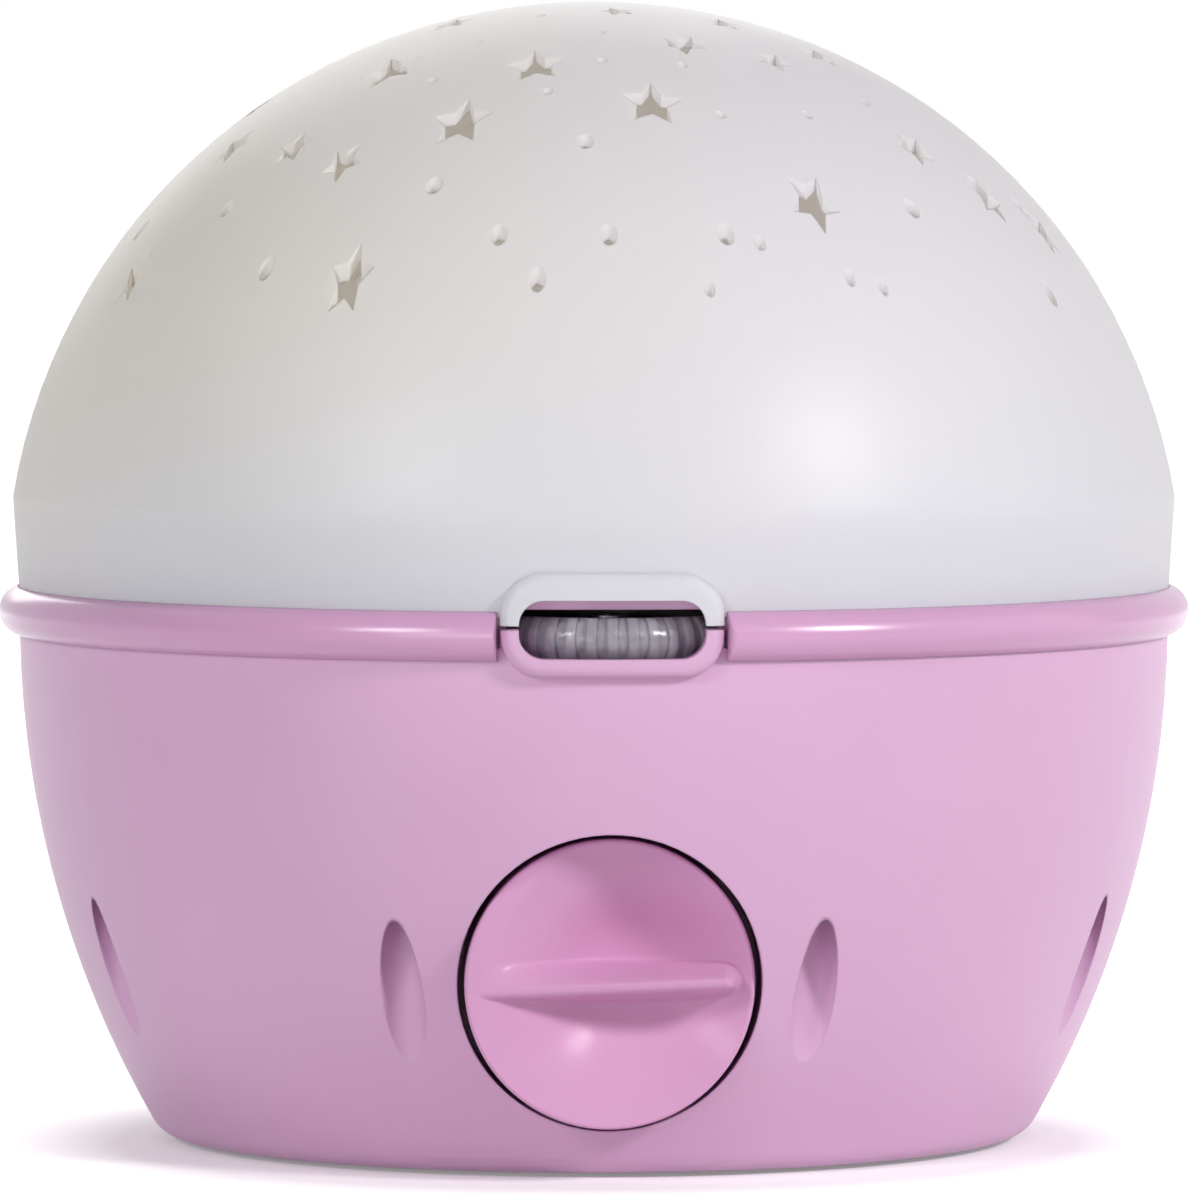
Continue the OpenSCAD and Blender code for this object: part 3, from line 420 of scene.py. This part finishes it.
def buildKnob(look):
    bm = bmesh.new()
    bmesh.ops.create_grid(bm, x_segments=look["rows"], y_segments=look["rows"], size=1)
    rises = [risesOf(look[slopes], look["slopeStep"]) for slopes in ("lowSlopes", "highSlopes")]
    for vert in bm.verts:
        # crowd the rows towards the bar, then draw the square out to a disc
        across = vert.co.x
        up = math.copysign(abs(vert.co.y) ** look["crowding"], vert.co.y)
        x = across * math.sqrt(1 - up * up / 2) * look["faceRadius"]
        z = up * math.sqrt(1 - across * across / 2) * look["faceRadius"]
        vert.co = (x, knobDepth(look, rises, x, z), z)
    rim = [edge for edge in bm.edges if edge.is_boundary]

    lip = look["radius"] - look["faceRadius"]
    last = 0.0
    for step in range(1, look["lipSteps"] + 1):
        angle = math.pi / 2 * step / look["lipSteps"]
        back = lip * (1 - math.cos(angle))
        rim = drawRim(bm, rim, look["faceRadius"] + lip * math.sin(angle), drop=back - last)
        last = back
    inner = look["radius"] - look["wall"]
    for radius, depth in (
        (look["radius"], look["skirt"]), (inner, look["skirt"]), (inner, look["capDepth"]),
        (look["hubRadius"], look["capDepth"]), (look["hubRadius"], look["hubDepth"]),
        (look["boreRadius"], look["hubDepth"]), (look["boreRadius"], look["boreDepth"]),
    ):
        rim = drawRim(bm, rim, radius, depth=depth)
    bmesh.ops.edgeloop_fill(bm, edges=rim)
    bmesh.ops.recalc_face_normals(bm, faces=bm.faces)
    turn = Matrix.Rotation(math.radians(-look["barTurn"]), 4, "Y")
    seat = Matrix.Translation(Vector(look["axis"]) * mm) @ turn @ Matrix.Scale(mm, 4)
    bmesh.ops.transform(bm, matrix=seat, verts=bm.verts)
    for face in bm.faces:
        face.smooth = True
    mesh = bpy.data.meshes.new("knobFace")
    bm.to_mesh(mesh)
    bm.free()
    mesh.materials.append(finishes["knobPlastic"])
    piece = bpy.data.objects.new("knobFace", mesh)
    scene.collection.objects.link(piece)
    return piece


finishes["knobPlastic"] = knobShine(knob)
knobPiece = buildKnob(knob)
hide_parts("selector_knob")
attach(knobPiece, "selector")
print("knob made:", len(knobPiece.data.vertices), "points")

finishOfSlot = {
    "dome_white": "domePlastic", "base_pink": "basePlastic", "trim_pink": "ringPlastic",
    "wheel_grey": "wheelPlastic", "deck_cream": "deckPlastic", "dark_plastic": "darkPlastic",
    "board_green": "boardGreen", "steel": "brightSteel", "foot_rubber": "footRubber",
    "lamp_clear": "lampLens",
}
finishOfNode = {"selector_knob": "knobPlastic", "batteries": "cellWrap", "speaker_cone": "conePaper",
                "speaker_magnet": "ferrite"}
for part in frame["record"]["subparts"]:
    coats = frame["nodes"][part["node"]].data.materials
    coats.clear()
    coats.append(finishes[finishOfNode.get(part["node"], finishOfSlot[part["material_slot"]])])
print("every node has its finish")

studio = {
    "floor": {
        "half": 6, "bounce": 0.92,
        "middle": (0, -0.007, 0),     # the floor's own light grows with the distance from here
        "near": (0.060, 0.078), "nearLift": (0.22, 0.76),
        "far": (0.2, 0.8), "farLift": (0.0, 0.3),
    },
    "sky": 0.18,
    "lampAim": (0, 0, 0.07),
    "lamps": {
        "keyBox": {"place": (0.858, -0.773, 0.640), "size": 0.2, "power": 8.5},
        "fillBox": {"place": (-0.775, -0.891, 0.602), "size": 0.27, "power": 3.9},
        "lowBox": {"place": (-0.650, -1.300, 0.160), "size": 0.6, "power": 3.7},
        "rightBox": {"place": (1.500, 0.000, 0.550), "size": 1.2, "power": 3.5},
        "backBox": {"place": (-0.200, 1.450, 0.780), "size": 1.0, "power": 6.2},
    },
    "camera": {"distance": 1.3, "height": 0.130, "turn": -1.75, "aim": (0.0002, 0, 0.06767), "lens": 309.24,
               "clip": (0.05, 30)},
}


def seenPlainly(tree):
    # 1 for the camera, mirror and see-through rays, 0 for the light that falls on the object
    path = tree.nodes.new("ShaderNodeLightPath")
    seen = reckon(tree, "MAXIMUM", path.outputs["Is Camera Ray"], path.outputs["Is Glossy Ray"])
    return reckon(tree, "MAXIMUM", seen, path.outputs["Is Transmission Ray"])


def paperFloor(look):
    bm = bmesh.new()
    bmesh.ops.create_grid(bm, x_segments=1, y_segments=1, size=look["half"])
    mesh = bpy.data.meshes.new("floor")
    bm.to_mesh(mesh)
    bm.free()
    floor = bpy.data.objects.new("floor", mesh)
    scene.collection.objects.link(floor)
    finish, tree, shader, output = newFinish("floorPaper")
    shader.inputs["Base Color"].default_value = (*[look["bounce"]] * 3, 1)
    shader.inputs["Roughness"].default_value = 1.0
    shader.inputs["Specular IOR Level"].default_value = 0.0
    away = tree.nodes.new("ShaderNodeVectorMath")
    away.operation = "DISTANCE"
    away.inputs[1].default_value = look["middle"]
    tree.links.new(placeOf(tree), away.inputs[0])
    rings = [remap(tree, away.outputs["Value"], look[ring], look[ring + "Lift"]) for ring in ("near", "far")]
    lift = reckon(tree, "ADD", *rings)
    glow = tree.nodes.new("ShaderNodeEmission")
    tree.links.new(reckon(tree, "MULTIPLY", lift, seenPlainly(tree)), glow.inputs["Strength"])
    both = tree.nodes.new("ShaderNodeAddShader")
    tree.links.new(shader.outputs["BSDF"], both.inputs[0])
    tree.links.new(glow.outputs["Emission"], both.inputs[1])
    tree.links.new(both.outputs["Shader"], output.inputs["Surface"])
    mesh.materials.append(finish)


def aimAt(thing, place, target):
    thing.location = place
    thing.rotation_euler = (Vector(target) - Vector(place)).to_track_quat("-Z", "Y").to_euler()


def hangLamp(name, look, target):
    lampData = bpy.data.lights.new(name, "AREA")
    lampData.size = look["size"]
    lampData.energy = look["power"]
    lamp = bpy.data.objects.new(name, lampData)
    scene.collection.objects.link(lamp)
    aimAt(lamp, look["place"], target)


def setCamera(look):
    cameraData = bpy.data.cameras.new("camera")
    cameraData.lens = look["lens"]
    cameraData.clip_start, cameraData.clip_end = look["clip"]
    camera = bpy.data.objects.new("camera", cameraData)
    scene.collection.objects.link(camera)
    turn = math.radians(look["turn"])
    place = math.sin(turn) * look["distance"], -math.cos(turn) * look["distance"], look["height"]
    aimAt(camera, place, look["aim"])
    scene.camera = camera


def whiteSky(level):
    world = bpy.data.worlds.new("studio")
    scene.world = world
    world.use_nodes = True
    tree = world.node_tree
    background = tree.nodes["Background"]
    background.inputs["Color"].default_value = (1, 1, 1, 1)
    tree.links.new(remap(tree, seenPlainly(tree), (0, 1), (level, 1)), background.inputs["Strength"])


paperFloor(studio["floor"])
for name, look in studio["lamps"].items():
    hangLamp(name, look, studio["lampAim"])
setCamera(studio["camera"])
whiteSky(studio["sky"])
scene.view_settings.view_transform = "Standard"
print("studio made")
